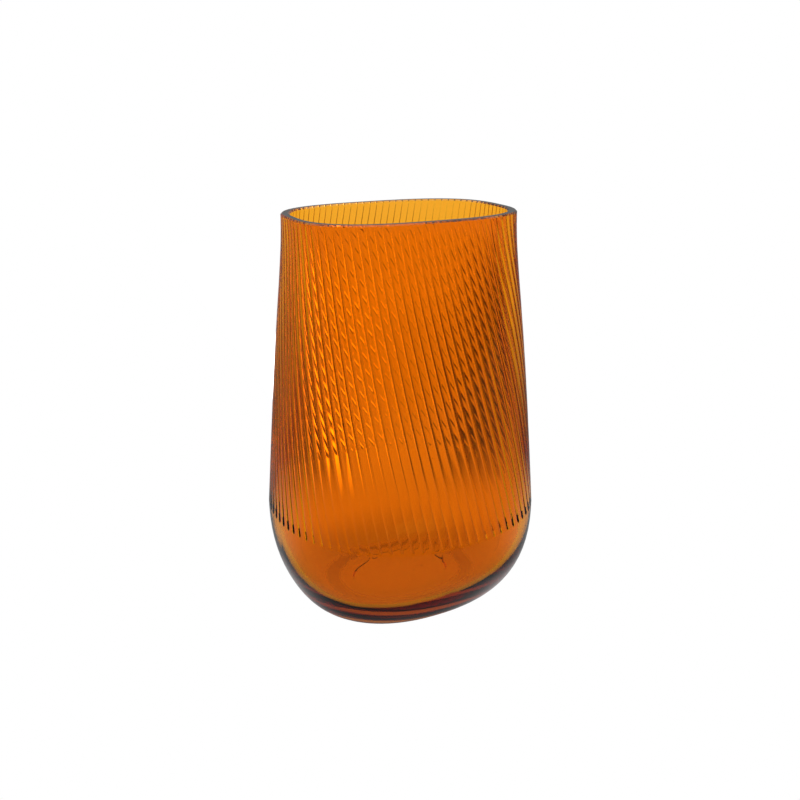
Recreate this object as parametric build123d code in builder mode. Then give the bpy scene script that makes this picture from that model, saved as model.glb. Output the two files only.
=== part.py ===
from build123d import *
import os
from math import cos, pi, radians, sin

# A free-blown vase of thick amber glass, flattened to an oval while hot. The origin is at the
# centre of the foot, X runs along the oval, Y across it and Z up. All sizes are in millimetres.

# Heights above the table
vase_height = 250.0
lip_height = 4.0              # the band that was sawn, ground flat and polished
belly_height = 68.0           # widest level, where the swirled ribs end
seam_height = 16.0            # where the bowl of the heel meets the thick base
floor_height = 9.5            # top of the glass floor inside

# Ovals: half length along X, half width along Y, squareness (2 is an ellipse)
belly = (84.5, 81.0, 2.15)
mouth = (68.5, 48.0, 2.8)
foot = (50.0, 44.0, 2.25)
floor = (49.5, 42.5, 2.25)
ring = (46.0, 40.0, 2.25)     # inner edge of the flat ring that the vase stands on
punt = (34.0, 26.0, 2.0)      # the disc ground under the foot, where the iron broke away
punt_depth = 1.6
punt_step = 0.6               # the disc is ground this much deeper than the slope around it

# The heel's curve from foot to belly, and inside from floor to belly: for its length and its width
heel_curve_long = (2.2, 1.85)
heel_curve_wide = (2.5, 1.12)

# The wall tapers almost straight, a little hollow, and stands upright just under the lip
wall_thickness = 5.0
wall_swell = 0.8              # how much thicker the wall is half way up
wall_hollow = 0.04
lip_upright = 0.88
lip_upright_power = 6
lip_bevel = 0.8

points_per_oval = 40
wall_steps = 8
heel_steps = 9


def between(start, end, share):
    """The value a given share of the way from start to end."""
    return start + (end - start) * share


def bowed(share, curve):
    """0 at the foot and 1 at the belly, along a rounded heel."""
    power, root = curve
    return (1 - share**power) ** (1 / root)


def outside_oval(z):
    """Half length, half width and squareness of the outside at height z."""
    if z >= belly_height:
        share = (z - belly_height) / (vase_height - belly_height)
        drawn_in = share + (wall_hollow * share + lip_upright * share**lip_upright_power) * (1 - share)
        half_long = between(belly[0], mouth[0], drawn_in)
        half_wide = between(belly[1], mouth[1], drawn_in)
        return half_long, half_wide, between(belly[2], mouth[2], share)
    share = (belly_height - z) / belly_height
    half_long = between(foot[0], belly[0], bowed(share, heel_curve_long))
    half_wide = between(foot[1], belly[1], bowed(share, heel_curve_wide))
    return half_long, half_wide, between(belly[2], foot[2], share)


def shrunk(oval, inset):
    """The same oval with both half sizes smaller by the inset."""
    half_long, half_wide, squareness = oval
    return half_long - inset, half_wide - inset, squareness


def inside_oval(z):
    """Half length, half width and squareness of the hollow at height z."""
    if z >= belly_height:
        share = (z - belly_height) / (vase_height - belly_height)
        return shrunk(outside_oval(z), wall_thickness + wall_swell * 4 * share * (1 - share))
    share = (belly_height - z) / (belly_height - floor_height)
    half_long = between(floor[0], belly[0] - wall_thickness, bowed(share, heel_curve_long))
    half_wide = between(floor[1], belly[1] - wall_thickness, bowed(share, heel_curve_wide))
    return half_long, half_wide, between(belly[2], floor[2], share)


def point_on(oval, turn):
    """The point of the oval in the direction given as a share of a turn."""
    half_long, half_wide, squareness = oval
    angle = 2 * pi * turn
    reach = abs(cos(angle) / half_long) ** squareness + abs(sin(angle) / half_wide) ** squareness
    radius = reach ** (-1 / squareness)
    return radius * cos(angle), radius * sin(angle)


def oval_face(oval, z):
    """A flat face with the outline of the oval, at height z."""
    with BuildSketch(Plane.XY.offset(z)) as section:
        with BuildLine():
            Spline(*[point_on(oval, step / points_per_oval) for step in range(points_per_oval)], periodic=True)
        make_face()
    return section.sketch.face()


def even_levels(low, high, steps):
    """Heights spaced evenly from low to high."""
    return [between(low, high, step / steps) for step in range(steps + 1)]


def rounded_levels(low, high, bottom, steps):
    """Heights from low to high on a bowl whose lowest point is bottom, closer together lower down."""
    quarter_turn = radians(90)
    levels = [between(belly_height, bottom, cos(quarter_turn * step / steps)) for step in range(steps + 1)]
    kept = [z for z in levels if low < z < high]
    return [low, *kept, high]


lip_bottom = vase_height - lip_height
bevel_bottom = vase_height - lip_bevel

# Rim lip: the sawn edge, ground flat and polished, with a narrow bevel on both corners
with BuildPart() as rim_lip:
    loft([oval_face(outside_oval(z), z) for z in (lip_bottom, bevel_bottom)])
    edge_outside = oval_face(outside_oval(bevel_bottom), bevel_bottom)
    top_outside = oval_face(shrunk(mouth, lip_bevel), vase_height)
    loft([edge_outside, top_outside], ruled=True)
    loft([oval_face(inside_oval(z), z) for z in (lip_bottom, bevel_bottom)], mode=Mode.SUBTRACT)
    edge_inside = oval_face(inside_oval(bevel_bottom), bevel_bottom)
    top_inside = oval_face(shrunk(mouth, wall_thickness - lip_bevel), vase_height)
    loft([edge_inside, top_inside], ruled=True, mode=Mode.SUBTRACT)

# Ribbed wall: the tall tapering wall, drawn to the crests of its swirled ribs, smooth inside
with BuildPart() as ribbed_wall:
    levels = even_levels(belly_height, lip_bottom, wall_steps)
    loft([oval_face(outside_oval(z), z) for z in levels])
    loft([oval_face(inside_oval(z), z) for z in levels], mode=Mode.SUBTRACT)

# Heel bowl: the smooth rounded shoulder below the ribs, thickening towards the base
with BuildPart() as heel_bowl:
    outside_levels = rounded_levels(seam_height, belly_height, 0, heel_steps)
    loft([oval_face(outside_oval(z), z) for z in outside_levels])
    inside_levels = rounded_levels(seam_height, belly_height, floor_height, heel_steps)
    loft([oval_face(inside_oval(z), z) for z in inside_levels], mode=Mode.SUBTRACT)

# Thick base: the solid floor and the flat standing ring, hollow underneath with a ground disc
with BuildPart() as thick_base:
    outside_levels = rounded_levels(0, seam_height, 0, heel_steps)
    loft([oval_face(outside_oval(z), z) for z in outside_levels])
    inside_levels = rounded_levels(floor_height, seam_height, floor_height, heel_steps)
    loft([oval_face(inside_oval(z), z) for z in inside_levels], mode=Mode.SUBTRACT)
    slope_height = punt_depth - punt_step
    loft([oval_face(ring, 0), oval_face(punt, slope_height)], ruled=True, mode=Mode.SUBTRACT)
    loft([oval_face(punt, slope_height), oval_face(punt, punt_depth)], ruled=True, mode=Mode.SUBTRACT)

pieces = {
    "rim_lip": rim_lip,
    "ribbed_wall": ribbed_wall,
    "heel_bowl": heel_bowl,
    "thick_base": thick_base,
}
os.makedirs("parts", exist_ok=True)
for name, piece in pieces.items():
    piece.part.label = name
    export_step(piece.part, f"parts/{name}.step")
    print(name, piece.part.is_valid, round(piece.part.volume / 1000, 1), "cm3")
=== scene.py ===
# %% [markdown]
# # A blown amber vase with swirled ribs
# The vase is one body of thick amber glass. A glassblower pushes the hot bubble into a ribbed
# mould, twists it so that the ribs lean, presses it into an oval, and cuts the top flat once it
# is cold. Glass shows its inside as much as its outside, so the whole body is modelled as it is:
# outside, cut lip, smooth inside, thick floor and the ground hollow underneath, all one closed
# skin. The first cell loads the measured model, which gives the heights and widths used below.

# %% Load the frame
from math import cos, pi, radians, sin

import bpy
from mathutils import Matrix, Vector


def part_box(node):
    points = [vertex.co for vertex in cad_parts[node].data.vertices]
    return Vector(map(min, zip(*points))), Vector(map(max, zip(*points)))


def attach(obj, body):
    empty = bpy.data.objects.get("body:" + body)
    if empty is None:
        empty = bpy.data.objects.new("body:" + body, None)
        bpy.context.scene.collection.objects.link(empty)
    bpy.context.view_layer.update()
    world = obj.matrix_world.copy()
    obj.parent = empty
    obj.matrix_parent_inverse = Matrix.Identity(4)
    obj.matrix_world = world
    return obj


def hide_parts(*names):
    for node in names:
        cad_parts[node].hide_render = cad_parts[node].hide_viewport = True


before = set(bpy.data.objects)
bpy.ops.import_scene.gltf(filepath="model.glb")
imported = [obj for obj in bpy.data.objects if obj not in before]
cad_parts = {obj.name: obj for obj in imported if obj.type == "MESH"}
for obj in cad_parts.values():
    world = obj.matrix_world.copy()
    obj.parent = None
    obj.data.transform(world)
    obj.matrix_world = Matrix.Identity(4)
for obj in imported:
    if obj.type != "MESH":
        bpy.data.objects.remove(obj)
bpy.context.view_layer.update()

# %% [markdown]
# ## The sizes that drive the shape
# The vase's height, its widest level and the lip are read from the loaded zones, so the glass
# always fits them. What the boxes can't say, such as how square an oval is or how thick the floor
# is, is written here. Lengths are in metres, written as millimetres times MM.

# %% Read the heights and set the ovals
MM = 0.001

lip_low, lip_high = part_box("rim_lip")
wall_low, wall_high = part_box("ribbed_wall")
vase_height = lip_high.z
lip_bottom = lip_low.z
belly_height = wall_low.z
floor_height = 9.5 * MM

# An oval is a half length along X, a half width along Y and a squareness, where 2 is an ellipse.
belly = (wall_high.x, wall_high.y, 2.15)
mouth = (68.5 * MM, 48.0 * MM, 2.8)
foot = (50.0 * MM, 44.0 * MM, 2.25)
floor = (49.5 * MM, 42.5 * MM, 2.25)
ring = (46.0 * MM, 40.0 * MM, 2.25)     # inner edge of the ring that the vase stands on
punt = (34.0 * MM, 26.0 * MM, 2.0)      # the disc ground under the foot
punt_depth = 1.6 * MM
punt_step = 0.6 * MM                    # the disc is this much deeper than the slope round it

wall_thickness = 5.0 * MM
wall_swell = 0.8 * MM                   # how much thicker the wall is half way up
lip_bevel = 0.8 * MM
print("height", vase_height, "belly", belly, "mouth", mouth)

# %% [markdown]
# ## Curves of the body
# Seen from the side, the vase is a rounded heel, a nearly straight taper and a lip that stands
# upright. A few short formulas give the oval at any height, outside and inside. A drawn outline
# would work too, but a formula keeps the length and the width of the oval in step.

# %% The oval at each height
heel_curve_long = (2.2, 1.85)
heel_curve_wide = (2.5, 1.12)
wall_hollow = 0.04
lip_upright = 0.88
lip_upright_power = 6


def between(start, end, share):
    """The value a given share of the way from start to end."""
    return start + (end - start) * share


def mixed(first, second, share):
    """The oval a share of the way from the first to the second."""
    return tuple(between(a, b, share) for a, b in zip(first, second))


def scaled(oval, reach):
    """The same oval with both half sizes multiplied by reach."""
    half_long, half_wide, squareness = oval
    return half_long * reach, half_wide * reach, squareness


def shrunk(oval, inset):
    """The same oval with both half sizes smaller by the inset."""
    half_long, half_wide, squareness = oval
    return half_long - inset, half_wide - inset, squareness


def bowed(share, curve):
    """0 at the foot and 1 at the belly, along a rounded heel."""
    power, root = curve
    return (1 - share**power) ** (1 / root)


def outside_oval(z):
    """The oval of the outside at height z, on the crests of the ribs."""
    if z >= belly_height:
        share = (z - belly_height) / (vase_height - belly_height)
        upright = lip_upright * share**lip_upright_power
        drawn_in = share + (wall_hollow * share + upright) * (1 - share)
        half_long, half_wide, _ = mixed(belly, mouth, drawn_in)
        return half_long, half_wide, between(belly[2], mouth[2], share)
    share = (belly_height - z) / belly_height
    half_long = between(foot[0], belly[0], bowed(share, heel_curve_long))
    half_wide = between(foot[1], belly[1], bowed(share, heel_curve_wide))
    return half_long, half_wide, between(belly[2], foot[2], share)


def inside_oval(z):
    """The oval of the hollow at height z."""
    if z >= belly_height:
        share = (z - belly_height) / (vase_height - belly_height)
        return shrunk(outside_oval(z), wall_thickness + wall_swell * 4 * share * (1 - share))
    share = (belly_height - z) / (belly_height - floor_height)
    half_long = between(floor[0], belly[0] - wall_thickness, bowed(share, heel_curve_long))
    half_wide = between(floor[1], belly[1] - wall_thickness, bowed(share, heel_curve_wide))
    return half_long, half_wide, between(belly[2], floor[2], share)


print("oval half way up", outside_oval(vase_height / 2))

# %% [markdown]
# ## One line that goes round the glass
# The skin is described by a line of rows. It starts under the foot at the centre, runs out and up
# the outside, over the cut lip, down the inside and back to the centre of the floor. Each row
# carries its oval, how deep the rib valleys are there, how far the twist has turned it, whether
# the glass has a crisp cut edge along it, and whether it is inside. A list of rows is easier to
# read and change than a mesh made point by point. The real foot is a ground disc in a shallow
# hollow, inside a flat standing ring, and the heel curves up from there.

# %% Rows of the ground hollow, the standing ring and the heel
heel_rows = 18
disc_edge = 0.96              # the flat of the disc reaches this far out
slope_height = punt_depth - punt_step
rows = []


def row(height, oval, valley=0.0, turned=0.0, crisp=0.0, inside=0.0):
    """Adds a row to the line."""
    rows.append(
        {
            "height": height,
            "half_long": oval[0],
            "half_wide": oval[1],
            "squareness": oval[2],
            "valley": valley,
            "turned": turned,
            "crisp": crisp,
            "inside": inside,
        }
    )


for reach in (0.0, 0.3, 0.7, disc_edge):
    row(punt_depth, scaled(punt, reach), crisp=float(reach == disc_edge))
row(slope_height, punt, crisp=1.0)
for share in (0.25, 0.5, 0.75):
    row(slope_height * (1 - share), mixed(punt, ring, share))
row(0.0, ring, crisp=1.0)
for step in range(heel_rows):
    # closer together lower down, where the heel turns under
    height = belly_height * (1 - cos(pi / 2 * step / heel_rows))
    row(height, outside_oval(height))
print("rows up to the belly", len(rows))

# %% [markdown]
# ## The ribbed wall and the lip
# The mould's ribs end just above the heel, where the valleys dip a little deeper and then run out.
# Above that they keep their depth up to the lip, leaning more and more because the hot glass was
# twisted. The lip was cut, ground flat and bevelled, so its edges are crisp.

# %% Rows of the wall and the lip
rib_swirl = -0.4              # turns per metre of height, measured along the oval
rib_run_out = 2.0 * MM        # height over which the valleys fade into the heel
rib_end = 1.5                 # how much deeper a valley is at its lower end
full_turn = rib_swirl * (vase_height - belly_height)
fade_rows = 5
wall_rows = 36
lip_valleys = ((0.4, 0.9), (0.75, 0.6))     # share of the lip's height and valley depth
last_valley = 0.25
bevel_bottom = vase_height - lip_bevel


def eased(share):
    """A share of 0 to 1 that starts and ends slowly."""
    return share * share * (3 - 2 * share)


def wall_row(height, valley):
    """Adds a row of the ribbed wall, turned by the twist."""
    row(height, outside_oval(height), valley, rib_swirl * (height - belly_height))


for step in range(fade_rows):
    wall_row(belly_height + rib_run_out * step / fade_rows, rib_end * eased(step / fade_rows))
for step in range(wall_rows + 1):
    height = between(belly_height + rib_run_out, lip_bottom, step / wall_rows)
    wall_row(height, rib_end if step == 0 else 1.0)
for share, valley in lip_valleys:
    wall_row(between(lip_bottom, bevel_bottom, share), valley)
row(bevel_bottom, outside_oval(bevel_bottom), last_valley, full_turn, crisp=1.0)
row(vase_height, shrunk(mouth, lip_bevel), turned=full_turn, crisp=1.0)
row(vase_height, shrunk(mouth, wall_thickness - lip_bevel), turned=full_turn, crisp=1.0)
print("rows up to the lip", len(rows))

# %% [markdown]
# ## The inside
# Inside, the glass is smooth, because the bubble was blown and not moulded there. It follows the
# outside at the wall's thickness and rounds off into a thick floor. It is part of the same line,
# so the skin closes on itself with no seam between inside and outside.

# %% Rows of the inside
inside_rows = 14
cavity_rows = 14


def inside_row(height, oval, crisp=0.0):
    """Adds a row of the smooth inside."""
    row(height, oval, turned=full_turn, crisp=crisp, inside=1.0)


inside_row(bevel_bottom, inside_oval(bevel_bottom), crisp=1.0)
for step in range(1, inside_rows + 1):
    height = between(bevel_bottom, belly_height, step / inside_rows)
    inside_row(height, inside_oval(height))
for step in range(1, cavity_rows + 1):
    height = between(belly_height, floor_height, sin(pi / 2 * step / cavity_rows))
    inside_row(height, inside_oval(height))
for reach in (0.7, 0.35, 0.0):
    inside_row(floor_height, scaled(floor, reach))
print("rows in all", len(rows))

# %% [markdown]
# ## Node trees written as sums
# Both the shape and the glass are made by node trees. One small class wraps a node's socket so
# that Python's own operators add the Math nodes, and one method adds any other node. The trees
# below then read like the formulas that they are.

# %% The helper for node trees
class Wire:
    """An output socket that Python's operators work on."""

    def __init__(self, bench, socket):
        self.bench = bench
        self.socket = socket

    def of(self, name):
        """Another output of the same node."""
        return Wire(self.bench, self.socket.node.outputs[name])

    def maths(self, operation, *others):
        """A Math node with this socket as its first value."""
        return self.bench.maths(operation, self, *others)

    def __add__(self, other):
        return self.maths("ADD", other)

    def __sub__(self, other):
        return self.maths("SUBTRACT", other)

    def __mul__(self, other):
        return self.maths("MULTIPLY", other)

    def __truediv__(self, other):
        return self.maths("DIVIDE", other)

    def __pow__(self, other):
        return self.maths("POWER", other)

    def __mod__(self, other):
        return self.maths("FLOORED_MODULO", other)

    def __radd__(self, other):
        return self + other

    def __rmul__(self, other):
        return self * other

    def __rsub__(self, other):
        return self.bench.maths("SUBTRACT", other, self)

    def __rtruediv__(self, other):
        return self.bench.maths("DIVIDE", other, self)


class Bench:
    """A node tree under construction."""

    def __init__(self, tree):
        self.tree = tree

    def join(self, wire, socket):
        """Links a wire to an input socket."""
        self.tree.links.new(wire.socket, socket)

    def node(self, kind, settings=None, sockets=None):
        """Adds a node: its settings first, then a value, a wire or several wires for a socket."""
        made = self.tree.nodes.new(kind)
        for name, value in (settings or {}).items():
            setattr(made, name, value)
        for name, value in (sockets or {}).items():
            socket = made.inputs[name]
            if isinstance(value, Wire):
                self.join(value, socket)
            elif isinstance(value, list):
                for each in value:
                    self.join(each, socket)
            else:
                socket.default_value = value
        shown = [output for output in made.outputs if output.enabled]
        return Wire(self, shown[0]) if shown else made

    def maths(self, operation, *values):
        """A Math node on the values in order."""
        return self.node("ShaderNodeMath", {"operation": operation}, dict(enumerate(values)))

    def split(self, vector):
        """The X, Y and Z of a vector."""
        parts = self.node("ShaderNodeSeparateXYZ", None, {"Vector": vector})
        return parts.of("X"), parts.of("Y"), parts.of("Z")

    def point(self, x=0.0, y=0.0, z=0.0):
        """A vector from its three parts."""
        return self.node("ShaderNodeCombineXYZ", None, {"X": x, "Y": y, "Z": z})


print("operators ready:", [name for name in vars(Wire) if name.startswith("__r")])

# %% [markdown]
# ## A smooth oval through every row
# The tree gets the line of rows as a string of points. Its first step lays an oval curve through
# each row. A curve can be sampled by distance, so that later the ribs stay evenly spaced where the
# oval is tight and where it is flat, as they are when glass is blown out of a ribbed mould.

# %% Grids of rows, and the ovals
points_per_oval = 720


def named(bench, name):
    """A value stored on the geometry under a name."""
    return bench.node("GeometryNodeInputNamedAttribute", {"data_type": "FLOAT"}, {"Name": name})


def of_row(bench, profile, name, row_number):
    """A value of the row with that number."""
    return bench.node(
        "GeometryNodeSampleIndex",
        {"data_type": "FLOAT", "domain": "POINT"},
        {"Geometry": profile, "Value": named(bench, name), "Index": row_number},
    )


def grid(bench, across, row_count):
    """A grid with a line of points for each row, and the row and column of its points."""
    mesh = bench.node("GeometryNodeMeshGrid", None, {"Vertices X": across, "Vertices Y": row_count})
    index = bench.node("GeometryNodeInputIndex")
    row_number = index % row_count
    column = ((index + 0.5) / row_count).maths("FLOOR")
    return mesh, row_number, column


def lay_ovals(bench, profile, row_count):
    """A closed oval curve for every row."""
    mesh, row_number, column = grid(bench, points_per_oval, row_count)
    angle = column * (2 * pi / points_per_oval)
    flat = angle.maths("COSINE")
    upright = angle.maths("SINE")
    power = of_row(bench, profile, "squareness", row_number)
    along = (flat / of_row(bench, profile, "half_long", row_number)).maths("ABSOLUTE") ** power
    across = (upright / of_row(bench, profile, "half_wide", row_number)).maths("ABSOLUTE") ** power
    radius = (along + across) ** (-1.0 / power)
    height = of_row(bench, profile, "height", row_number)
    place = bench.point(radius * flat, radius * upright, height)
    mesh = bench.node("GeometryNodeSetPosition", None, {"Geometry": mesh, "Position": place})
    points = bench.node("GeometryNodeMeshToPoints", {"mode": "VERTICES"}, {"Mesh": mesh})
    ovals = bench.node(
        "GeometryNodePointsToCurves",
        None,
        {"Points": points, "Curve Group ID": row_number, "Weight": column},
    )
    return bench.node("GeometryNodeSetSplineCyclic", None, {"Geometry": ovals, "Cyclic": True})


print("ovals of", points_per_oval, "points")

# %% [markdown]
# ## The skin and its ribs
# Next, a grid is laid over the ovals, with the same number of columns for each rib. Every point
# sits at its distance along its oval, shifted by the twist. Between the ribs the skin is pushed in
# to make narrow valleys with flat, slightly rounded reeds between them, each a little deeper or
# shallower than the next. The smooth inside gets slow waves from the hand work.

# %% The skin
ribs = 88
points_per_rib = 10
rib_depth = 0.5 * MM
reed_power = 5.0              # 2 is a round reed, more is a flatter one with a narrower valley
shallowest_rib = 0.85         # against the deepest
gather = 0.75                 # how much closer together the columns stand beside a valley
inside_unevenness = 0.2 * MM
inside_waves_per_metre = 22.0
random_seed = 7
centre_size = 1e-6            # an oval smaller than this is a centre


def rib_valleys(bench, given, profile, rib, row_number):
    """How far the skin is pushed in between the ribs."""
    off_crest = ((rib % 1.0) * 2.0 - 1.0).maths("ABSOLUTE")
    valley = off_crest ** given.of("Reed Power")
    whim = bench.node(
        "FunctionNodeRandomValue",
        {"data_type": "FLOAT"},
        {
            "Min": shallowest_rib,
            "Max": 1.0,
            "ID": (rib + 0.5).maths("FLOOR"),
            "Seed": given.of("Seed"),
        },
    )
    depth = of_row(bench, profile, "valley", row_number) * given.of("Rib Depth")
    return valley * whim * depth


def lay_skin(bench, given, profile, row_count, ovals):
    """The grid wrapped round the ovals, with its ribs."""
    columns = given.of("Ribs") * given.of("Points per Rib")
    skin, row_number, column = grid(bench, columns + 1, row_count)
    rib_step = column / given.of("Points per Rib")
    gathered = rib_step - (rib_step * (2 * pi)).maths("SINE") * (gather / (2 * pi))
    turned = of_row(bench, profile, "turned", row_number)
    distance = (gathered / given.of("Ribs") + turned) % 1.0
    sample = bench.node(
        "GeometryNodeSampleCurve",
        {"mode": "FACTOR", "use_all_curves": False},
        {"Curves": ovals, "Factor": distance, "Curve Index": row_number},
    )
    x, y, z = bench.split(sample.of("Position"))
    ahead_x, ahead_y, _ = bench.split(sample.of("Tangent"))
    wave = bench.node(
        "ShaderNodeTexNoise",
        {"noise_dimensions": "3D"},
        {"Vector": sample.of("Position"), "Scale": inside_waves_per_metre, "Detail": 1.0},
    ).of("Fac")
    inside = of_row(bench, profile, "inside", row_number)
    valley = rib_valleys(bench, given, profile, gathered % given.of("Ribs"), row_number)
    push = valley + wave * given.of("Unevenness") * inside
    moved = bench.point(x - push * ahead_y, y + push * ahead_x, z)
    # at the two centres the oval has shrunk to nothing, so its points share one place
    axis = bench.point(z=of_row(bench, profile, "height", row_number))
    at_centre = of_row(bench, profile, "half_long", row_number).maths("LESS_THAN", centre_size)
    moved = bench.node(
        "GeometryNodeSwitch",
        {"input_type": "VECTOR"},
        {"Switch": at_centre, "False": moved, "True": axis},
    )
    skin = bench.node("GeometryNodeSetPosition", None, {"Geometry": skin, "Position": moved})
    for name in ("crisp", "inside"):
        skin = bench.node(
            "GeometryNodeStoreNamedAttribute",
            {"data_type": "FLOAT", "domain": "POINT"},
            {"Geometry": skin, "Name": name, "Value": of_row(bench, profile, name, row_number)},
        )
    return skin


print("ribs", ribs, "columns", ribs * points_per_rib)

# %% [markdown]
# ## Seed bubbles
# Hand-made glass holds a few tiny round bubbles, called seeds. A seed is an empty place in the
# glass, so each is a little ball turned inside out, in the same mesh and of the same glass as the
# skin: its faces point into the void. They are scattered by area a short way under the outside
# skin, most of them in the heel, with a fixed random seed.

# %% The seeds
seeds_per_area = 900.0        # in a square metre of the heel
seeds_on_wall = 0.35          # against the heel
seed_cover = 2.2 * MM         # depth of the seeds under the skin
smallest_seed = 0.12 * MM
largest_seed = 0.4 * MM


def seed_bubbles(bench, given, skin):
    """Little round voids under the outside skin."""
    _, _, height = bench.split(bench.node("GeometryNodeInputPosition"))
    outside = named(bench, "inside").maths("LESS_THAN", 0.5)
    outside = outside * height.maths("LESS_THAN", lip_bottom)
    crowded = seeds_on_wall + height.maths("LESS_THAN", belly_height) * (1.0 - seeds_on_wall)
    spread = bench.node(
        "GeometryNodeDistributePointsOnFaces",
        {"distribute_method": "RANDOM"},
        {
            "Mesh": skin,
            "Selection": outside,
            "Density": crowded * given.of("Seeds per Area"),
            "Seed": given.of("Seed"),
        },
    )
    inward = bench.node(
        "ShaderNodeVectorMath",
        {"operation": "SCALE"},
        {0: spread.of("Normal"), "Scale": given.of("Seed Cover") * -1.0},
    )
    points = bench.node("GeometryNodeSetPosition", None, {"Geometry": spread, "Offset": inward})
    ball = bench.node("GeometryNodeMeshIcoSphere", None, {"Radius": 1.0, "Subdivisions": 2})
    size = bench.node(
        "FunctionNodeRandomValue",
        {"data_type": "FLOAT"},
        {
            "Min": given.of("Smallest Seed"),
            "Max": given.of("Largest Seed"),
            "Seed": given.of("Seed"),
        },
    )
    balls = bench.node(
        "GeometryNodeInstanceOnPoints", None, {"Points": points, "Instance": ball, "Scale": size}
    )
    balls = bench.node("GeometryNodeRealizeInstances", None, {"Geometry": balls})
    balls = bench.node("GeometryNodeFlipFaces", None, {"Mesh": balls})
    return bench.node(
        "GeometryNodeSetShadeSmooth", {"domain": "FACE"}, {"Geometry": balls, "Shade Smooth": True}
    )


print("seeds from", smallest_seed, "to", largest_seed, "metres")

# %% [markdown]
# ## The whole tree
# The tree's inputs are the sizes that someone may want to change: how many ribs, how deep, how
# many seeds. The skin's first and last columns are merged, the cut edges are kept crisp and all
# else is shaded smooth. The tree ends by making everything real and giving it the glass.

# %% Put the tree together
merge_distance = 1e-6
crisp_mark = 0.99


def vase_tree(inputs):
    """The node tree that turns the line of rows into glass, and its inputs' identifiers."""
    tree = bpy.data.node_groups.new("wrap_vase_skin", "GeometryNodeTree")
    ids = {}
    for name, kind in inputs:
        made = tree.interface.new_socket(name=name, in_out="INPUT", socket_type=kind)
        ids[name] = made.identifier
    tree.interface.new_socket(name="Skin", in_out="OUTPUT", socket_type="NodeSocketGeometry")
    bench = Bench(tree)
    given = bench.node("NodeGroupInput")
    profile = given.of("Rows")
    row_count = bench.node(
        "GeometryNodeAttributeDomainSize", {"component": "MESH"}, {"Geometry": profile}
    )
    ovals = lay_ovals(bench, profile, row_count)
    skin = lay_skin(bench, given, profile, row_count, ovals)
    skin = bench.node(
        "GeometryNodeMergeByDistance", None, {"Geometry": skin, "Distance": merge_distance}
    )
    cut_edge = named(bench, "crisp").maths("GREATER_THAN", crisp_mark)
    skin = bench.node(
        "GeometryNodeSetShadeSmooth", {"domain": "FACE"}, {"Geometry": skin, "Shade Smooth": True}
    )
    skin = bench.node(
        "GeometryNodeSetShadeSmooth",
        {"domain": "EDGE"},
        {"Geometry": skin, "Selection": cut_edge, "Shade Smooth": False},
    )
    bubbles = seed_bubbles(bench, given, skin)
    skin = bench.node("GeometryNodeJoinGeometry", None, {"Geometry": [skin, bubbles]})
    skin = bench.node("GeometryNodeRealizeInstances", None, {"Geometry": skin})
    skin = bench.node(
        "GeometryNodeSetMaterial", None, {"Geometry": skin, "Material": given.of("Glass")}
    )
    bench.node("NodeGroupOutput", None, {"Skin": skin})
    return tree, ids


tree, ids = vase_tree(
    (
        ("Rows", "NodeSocketGeometry"),
        ("Ribs", "NodeSocketInt"),
        ("Points per Rib", "NodeSocketInt"),
        ("Rib Depth", "NodeSocketFloat"),
        ("Reed Power", "NodeSocketFloat"),
        ("Unevenness", "NodeSocketFloat"),
        ("Seeds per Area", "NodeSocketFloat"),
        ("Seed Cover", "NodeSocketFloat"),
        ("Smallest Seed", "NodeSocketFloat"),
        ("Largest Seed", "NodeSocketFloat"),
        ("Seed", "NodeSocketInt"),
        ("Glass", "NodeSocketMaterial"),
    )
)
print("nodes in the tree", len(tree.nodes))

# %% [markdown]
# ## Amber glass
# Amber comes from iron and sulphur melted into the glass, so the colour is in the depth of it, not
# on its surface: a thin wall is yellow and a thick one is deep orange. The volume takes out blue
# quickly and green slowly. Part of the tint is given to the surface instead, because long paths
# through the heel would turn too red if the depth held all of it. The standing ring is scuffed
# from use, and very slow waves are left in the surface from the hot working.

# %% The glass
wall_tint = (0.98, 0.495, 0.1, 1.0)
depth_tint = (0.955, 0.87, 0.151, 1.0)
depth_density = 300.0
glass_ior = 1.5
ring_roughness = 0.45
scuffed_below = 0.6 * MM
fully_scuffed_below = 0.1 * MM
scuffs_per_metre = 900.0
scuff_least = 0.6
scuff_spread = 0.8
wave_height = 0.1 * MM
waves_per_metre = 25.0


def amber_glass():
    """Clear, coloured, with a scuffed standing ring and slow waves."""
    material = bpy.data.materials.new("amber_glass")
    material.use_nodes = True
    bench = Bench(material.node_tree)
    shader = material.node_tree.nodes["Principled BSDF"].inputs
    shader["Base Color"].default_value = wall_tint
    shader["IOR"].default_value = glass_ior
    shader["Transmission Weight"].default_value = 1.0
    place = bench.node("ShaderNodeTexCoord").of("Object")
    _, _, height = bench.split(place)
    worn = bench.node(
        "ShaderNodeMapRange",
        {"interpolation_type": "SMOOTHSTEP"},
        {
            "Value": height,
            "From Min": scuffed_below,
            "From Max": fully_scuffed_below,
            "To Min": 0.0,
            "To Max": ring_roughness,
        },
    )
    scuffs = bench.node(
        "ShaderNodeTexNoise", None, {"Vector": place, "Scale": scuffs_per_metre, "Detail": 3.0}
    ).of("Fac")
    bench.join(worn * (scuff_least + scuffs * scuff_spread), shader["Roughness"])
    waves = bench.node(
        "ShaderNodeTexNoise", None, {"Vector": place, "Scale": waves_per_metre, "Detail": 2.0}
    ).of("Fac")
    bump = bench.node(
        "ShaderNodeBump", None, {"Strength": 1.0, "Distance": wave_height, "Height": waves}
    )
    bench.join(bump, shader["Normal"])
    depth = bench.node(
        "ShaderNodeVolumeAbsorption", None, {"Color": depth_tint, "Density": depth_density}
    )
    bench.join(depth, material.node_tree.nodes["Material Output"].inputs["Volume"])
    return material


glass = amber_glass()
print(glass.name, "wall tint", wall_tint, "depth tint", depth_tint)

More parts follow.
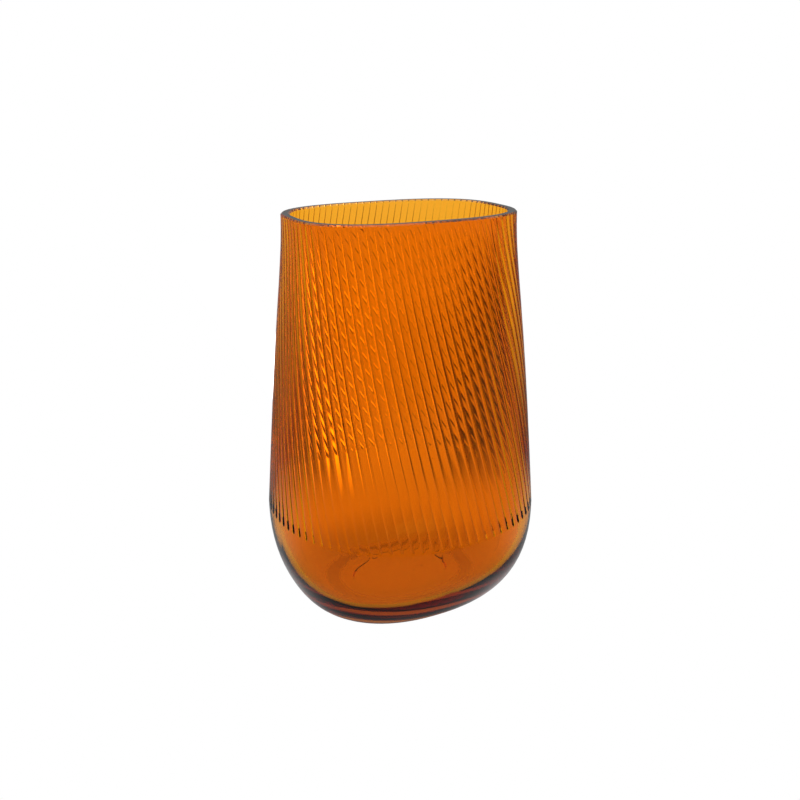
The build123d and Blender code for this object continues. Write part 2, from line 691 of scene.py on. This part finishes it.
# %% [markdown]
# ## Wrap the skin
# The rows become a string of points with their values stored on them, and the tree runs on that.
# Its result is turned into a plain mesh, so that nothing depends on a live modifier, and the
# string is thrown away. The new skin stands for all four measured zones: inner faces where the
# zones meet would show as mirrors inside the glass.

# %% Make the vase
line = bpy.data.meshes.new("rows_of_the_skin")
line.from_pydata([(0.0, 0.0, each["height"]) for each in rows], [], [])
for name in rows[0]:
    attribute = line.attributes.new(name, "FLOAT", "POINT")
    attribute.data.foreach_set("value", [each[name] for each in rows])
carrier = bpy.data.objects.new("rows_of_the_skin", line)
bpy.context.scene.collection.objects.link(carrier)
wrap = carrier.modifiers.new("wrap", "NODES")
wrap.node_group = tree
for name, value in (
    ("Ribs", ribs),
    ("Points per Rib", points_per_rib),
    ("Rib Depth", rib_depth),
    ("Reed Power", reed_power),
    ("Unevenness", inside_unevenness),
    ("Seeds per Area", seeds_per_area),
    ("Seed Cover", seed_cover),
    ("Smallest Seed", smallest_seed),
    ("Largest Seed", largest_seed),
    ("Seed", random_seed),
    ("Glass", glass),
):
    wrap[ids[name]] = value
bpy.context.view_layer.update()
evaluated = carrier.evaluated_get(bpy.context.evaluated_depsgraph_get())
skin_mesh = bpy.data.meshes.new_from_object(evaluated)
vase_glass = bpy.data.objects.new("vase_glass", skin_mesh)
bpy.context.scene.collection.objects.link(vase_glass)
bpy.data.objects.remove(carrier)
print("skin", len(skin_mesh.vertices), "points", len(skin_mesh.polygons), "faces")

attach(vase_glass, "root")
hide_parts("rim_lip", "ribbed_wall", "heel_bowl", "thick_base")

# %% [markdown]
# ## Light for glass
# Glass has little look of its own: it shows what is seen through it and what is mirrored in it.
# To light glass well, people stand white, bright and dark cards round it. Here the cards are
# painted by direction on the table and the room, with one set for the light that comes through
# the glass and a darker set for what its surface mirrors, so that the colour stays deep.
# A card is four numbers: degrees to the left of the main view, half width and soft edge in
# degrees, and brightness. The camera itself sees only plain white.

# %% Cards
view_turn = -0.4551           # the main view's turn about the upright axis, in radians
seen_field = 0.75
seen_cards = ((0, 12, 2, 1.0), (18, 2.2, 1, 4.2), (30, 8, 2, 0.03), (-22.5, 8, 1.5, 0.02))
mirrored_field = 0.12
mirrored_cards = ((0, 50, 30, 0.7), (180, 60, 40, 0.05))
least_radius = 1e-4           # keeps the direction defined on the axis


def smooth(bench, value, start, end):
    """0 at start and 1 at end."""
    return bench.node(
        "ShaderNodeMapRange",
        {"interpolation_type": "SMOOTHSTEP"},
        {"Value": value, "From Min": start, "From Max": end, "To Min": 0.0, "To Max": 1.0},
    )


def blend(first, second, share):
    """The brightness a share of the way from the first to the second."""
    return first + (second - first) * share


def cards(bench, x, y, field, around):
    """Brightness towards x, y: a plain field with cards standing round it."""
    radius = (x ** 2.0 + y ** 2.0).maths("SQRT").maths("MAXIMUM", least_radius)
    total = field
    for turned_left, half_width, edge, strength in around:
        way = pi / 2 + view_turn + radians(turned_left)
        facing = (x * cos(way) + y * sin(way)) / radius
        dark_from = cos(radians(half_width + edge))
        full_from = cos(radians(half_width - edge))
        total = total + smooth(bench, facing, dark_from, full_from) * (strength - field)
    return total


def shown(bench, seen, mirrored):
    """What a ray meets: white from the camera, else what is seen through or mirrored."""
    path = bench.node("ShaderNodeLightPath")
    lit = blend(seen, mirrored, path.of("Is Reflection Ray"))
    return lit.maths("MAXIMUM", path.of("Is Camera Ray"))


print("cards", len(seen_cards), "seen and", len(mirrored_cards), "mirrored")

# %% [markdown]
# ## The table
# Most of what the walls show is the table, because the view looks down on it. Close to the foot it
# is a little shaded, further out it carries the cards, and in the distance, which only the inside
# of the mouth shows, it is plain white again. What the heel mirrors is lighter close to the foot.

# %% The table
table_half = 8.0
table_gap = 0.3 * MM          # keeps the table's face apart from the standing ring's
ground = bpy.data.meshes.new("table")
corners = [(-1, -1), (1, -1), (1, 1), (-1, 1)]
places = [(x * table_half, y * table_half, -table_gap) for x, y in corners]
ground.from_pydata(places, [], [(0, 1, 2, 3)])
table = bpy.data.objects.new("table", ground)
bpy.context.scene.collection.objects.link(table)
paint = bpy.data.materials.new("white_table")
paint.use_nodes = True
print("table", 2 * table_half, "m across")

# %% [markdown]
# ## The light from the table
# Each pair of distances below says where one brightness gives way to the next, in metres from the
# middle of the vase. Soft steps are needed, because thick glass draws a hard step as a bright or
# dark line.

# %% The table's cards
foot_shade = (0.6, 0.87)      # brightness under the foot and beside it
foot_shade_span = (0.06, 0.12)
cards_start = (0.12, 0.3)
cards_dimmed = 0.87           # the cards are a little dimmer in a ring at dim_radius
dim_radius = 0.5
dim_span = (0.1, 0.35)
cards_stop = (1.4, 0.9)

glow_field = 0.1
far_glow_cards = ((0, 20, 20, 0.5), (180, 60, 40, 0.05))
near_glow_cards = ((60, 30, 25, 0.3), (-60, 30, 25, 0.3))
near_glow_span = (0.2, 0.4)
foot_glow_field = 0.5
foot_glow_cards = ((180, 45, 35, 0.12),)
foot_glow_span = (0.08, 0.115)

bench = Bench(paint.node_tree)
x, y, _ = bench.split(bench.node("ShaderNodeNewGeometry").of("Position"))
radius = (x ** 2.0 + y ** 2.0).maths("SQRT")

off_dim_ring = (radius - dim_radius).maths("ABSOLUTE")
carded = cards(bench, x, y, seen_field, seen_cards)
carded = carded * blend(cards_dimmed, 1.0, smooth(bench, off_dim_ring, *dim_span))
carded = blend(1.0, carded, smooth(bench, radius, *cards_stop))
shaded = blend(*foot_shade, smooth(bench, radius, *foot_shade_span))
seen = blend(shaded, carded, smooth(bench, radius, *cards_start))

foot_glow = cards(bench, x, y, foot_glow_field, foot_glow_cards)
near_glow = cards(bench, x, y, glow_field, near_glow_cards)
far_glow = cards(bench, x, y, glow_field, far_glow_cards)
mirrored = blend(near_glow, far_glow, smooth(bench, radius, *near_glow_span))
mirrored = blend(foot_glow, mirrored, smooth(bench, radius, *foot_glow_span))

lamp = bench.node("ShaderNodeEmission", None, {"Strength": shown(bench, seen, mirrored)})
bench.join(lamp, paint.node_tree.nodes["Material Output"].inputs["Surface"])
ground.materials.append(paint)
print("nodes in the table's paint", len(paint.node_tree.nodes))

# %% [markdown]
# ## The room
# Above the table is a white room. Its ceiling is dim as seen through the glass, so that light led
# up inside the wall stays deep amber, and bright as mirrored, so that the flat lip catches it. A
# new world's own colour is nearly black, so it is set to white and the strength does the work.

# %% The room
wall_cards = ((0, 40, 20, 1.0),)
ceiling_seen = 0.13           # against the walls
ceiling_seen_span = (0.75, 0.6)
wall_mirrored = 0.42          # against the mirrored cards
ceiling_mirrored = 0.9
ceiling_mirrored_span = (0.5, 0.8)

world = bpy.data.worlds.new("studio")
world.use_nodes = True
bench = Bench(world.node_tree)
x, y, z = bench.split(bench.node("ShaderNodeTexCoord").of("Generated"))
wall_light = cards(bench, x, y, seen_field, wall_cards)
seen = wall_light * blend(ceiling_seen, 1.0, smooth(bench, z, *ceiling_seen_span))
wall_glow = cards(bench, x, y, mirrored_field, mirrored_cards) * wall_mirrored
mirrored = wall_glow + smooth(bench, z, *ceiling_mirrored_span) * ceiling_mirrored
background = world.node_tree.nodes["Background"].inputs
background["Color"].default_value = (1.0, 1.0, 1.0, 1.0)
bench.join(shown(bench, seen, mirrored), background["Strength"])
scene = bpy.context.scene
scene.world = world
print("nodes in the room's light", len(world.node_tree.nodes))

# %% [markdown]
# ## The camera
# The vase is seen from a little above, turned so that its long side faces left of the view. The
# standard view transform keeps white paper white. Light bounces many times inside thick glass, and
# the inner mirroring counts as glossy, so the overall, transmission, glossy and transparent limits
# on bounces are raised: with too few, the heel's edge and the lip turn black.

# %% The camera
eye = (-0.2238, -0.4572, 0.31917)
tilt = 0.3518                 # downwards, in radians
film_width = 36.0             # in millimetres, as the focal length is
focal_length = 38.74
light_bounces = 24
bounce_limits = ("max_bounces", "transmission_bounces", "glossy_bounces",
                 "transparent_max_bounces")
lens = bpy.data.cameras.new("camera")
lens.sensor_width = film_width
lens.lens = focal_length
camera = bpy.data.objects.new("camera", lens)
scene.collection.objects.link(camera)
camera.location = eye
camera.rotation_euler = (pi / 2 - tilt, 0.0, view_turn)
scene.camera = camera
scene.view_settings.view_transform = "Standard"
for limit in bounce_limits:
    setattr(scene.cycles, limit, light_bounces)
print("camera", eye)

# %% [markdown]
# The visual model has to fill the measured box and no more.
